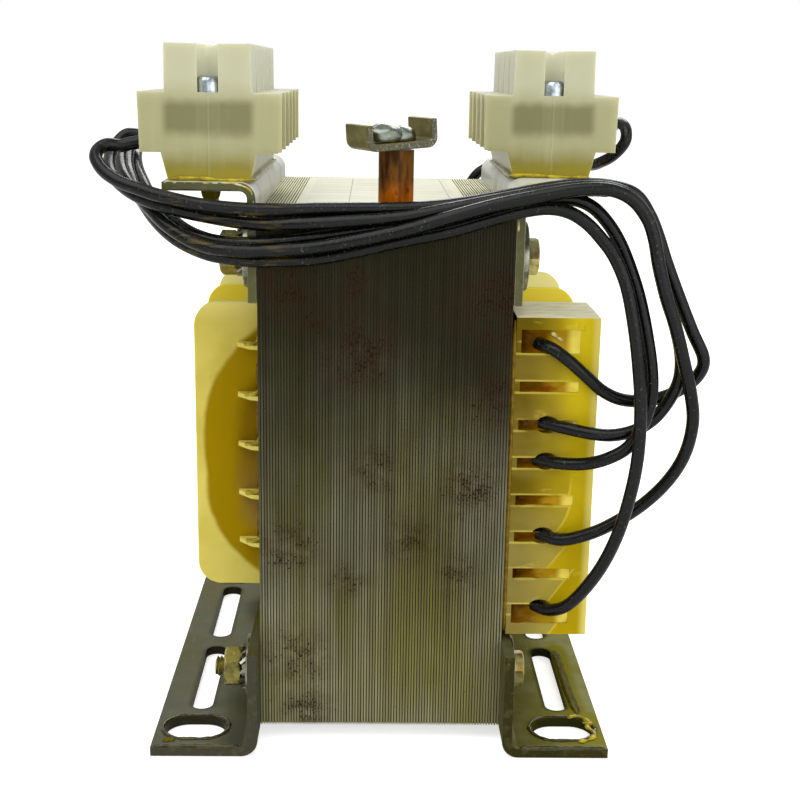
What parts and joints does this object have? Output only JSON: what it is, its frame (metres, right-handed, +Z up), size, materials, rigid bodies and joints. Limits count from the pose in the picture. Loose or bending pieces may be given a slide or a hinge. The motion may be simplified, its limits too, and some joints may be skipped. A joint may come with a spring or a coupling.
{
  "type": "control transformer",
  "caption": "Open control transformer: upright laminated core, yellow coil bobbin, slotted feet, milky terminal strips on both top edges and black looping leads.",
  "frame": {"origin": "centre of the four foot end slots, on the underside of the feet", "axes": "+X to the right strip, +Y to the back, +Z up from the feet"},
  "size_m": [0.1083, 0.097, 0.127],
  "materials": {
    "laminations": "stacked electrical steel sheet edges under tinted varnish, with rust specks",
    "bobbin_nylon": "translucent yellow nylon",
    "comb_nylon": "translucent yellow nylon",
    "winding_copper": "varnished winding under yellow tape",
    "foot_zinc": "zinc plate dulled by yellow resin",
    "bracket_zinc": "light zinc plate",
    "bolt_zinc": "yellow passivated zinc",
    "washer_steel": "dull zinc plate",
    "strip_nylon": "milky nylon, yellow with resin at the base",
    "clamp_brass": "plain brass",
    "screw_zinc": "bright zinc plate",
    "label": "bare cream foil",
    "post_copper": "brown lacquered rod",
    "lug_brass": "tarnished tinned brass",
    "lead_black": "glossy black sleeving"
  },
  "bodies": {
    "root": {"core_e_stack": "laminations", "core_i_stack": "laminations", "bobbin_tube": "bobbin_nylon", "front_flange": "bobbin_nylon", "middle_flange": "bobbin_nylon", "rear_flange": "bobbin_nylon", "front_lead_comb": "comb_nylon", "rear_lead_comb": "comb_nylon", "front_winding": "winding_copper", "rear_winding": "winding_copper", "left_foot": "foot_zinc", "right_foot": "foot_zinc", "left_terminal_bracket": "bracket_zinc", "right_terminal_bracket": "bracket_zinc", "clamp_bolts": "bolt_zinc", "clamp_nuts": "bolt_zinc", "plain_washers": "washer_steel", "toothed_washers": "washer_steel", "left_terminal_block": "strip_nylon", "right_terminal_block": "strip_nylon", "left_terminal_clamps": "clamp_brass", "right_terminal_clamps": "clamp_brass", "left_terminal_screws": "screw_zinc", "right_terminal_screws": "screw_zinc", "left_mounting_screws": "screw_zinc", "right_mounting_screws": "screw_zinc", "nameplate": "label", "earth_post": "post_copper", "earth_lug": "lug_brass", "front_lead_1": "lead_black", "front_lead_2": "lead_black", "front_lead_3": "lead_black", "front_lead_4": "lead_black", "front_lead_5": "lead_black", "back_lead_1": "lead_black", "back_lead_2": "lead_black"}
  },
  "joints": []
}
